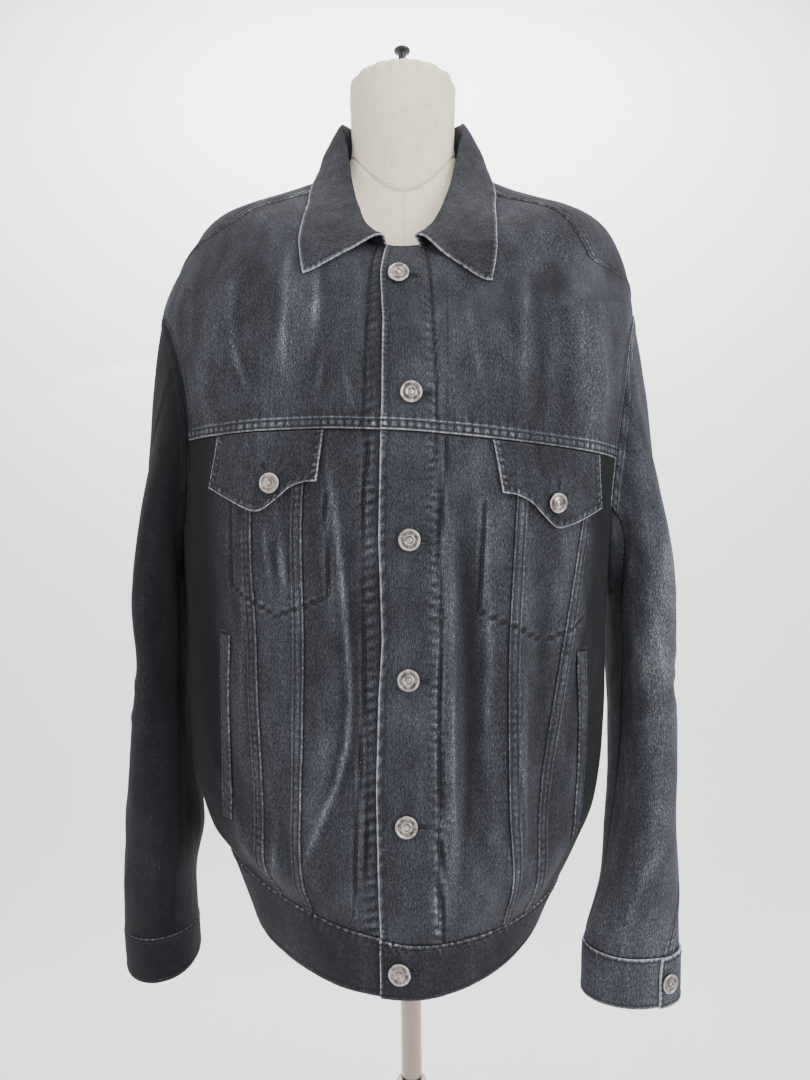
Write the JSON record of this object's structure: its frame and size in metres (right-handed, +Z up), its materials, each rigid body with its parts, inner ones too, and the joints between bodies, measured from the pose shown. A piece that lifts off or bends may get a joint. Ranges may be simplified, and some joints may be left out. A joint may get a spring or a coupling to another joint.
{
  "type": "denim jacket on dress form",
  "caption": "Oversized denim trucker jacket with pointed collar, flapped chest pockets and slit hand pockets, buttoned on a limbless dress form with a steel pole and a round foot.",
  "frame": {"origin": "centre of the foot plate's underside, on the floor and on the pole's line", "axes": "+Z up along the pole, the front of the jacket towards -Y, the wearer's left towards +X"},
  "size_m": [0.575, 0.38, 1.6243],
  "materials": {
    "denim": "washed black twill",
    "button_metal": "satin, slightly coppery",
    "linen": "plain weave, matt",
    "steel": "polished",
    "knob_black": "gloss"
  },
  "bodies": {
    "root": {"front_centre_left": "denim", "front_middle_left": "denim", "front_side_left": "denim", "front_yoke_left": "denim", "front_centre_right": "denim", "front_middle_right": "denim", "front_side_right": "denim", "front_yoke_right": "denim", "back_side_left": "denim", "back_side_right": "denim", "back_centre": "denim", "back_yoke": "denim", "waistband": "denim", "collar": "denim", "sleeve_upper_left": "denim", "sleeve_under_left": "denim", "sleeve_upper_right": "denim", "sleeve_under_right": "denim", "cuff_left": "denim", "cuff_right": "denim", "pocket_flap_left": "denim", "pocket_flap_right": "denim", "welt_left": "denim", "welt_right": "denim", "button_neck": "button_metal", "button_chest": "button_metal", "button_middle": "button_metal", "button_waist": "button_metal", "button_lower": "button_metal", "button_band": "button_metal", "button_flap_left": "button_metal", "button_flap_right": "button_metal", "button_cuff_left": "button_metal", "button_cuff_right": "button_metal", "dress_form": "linen", "knob_base": "steel", "knob": "knob_black", "pole_upper": "steel", "pole_lower": "steel", "foot_plate": "steel"}
  },
  "joints": []
}
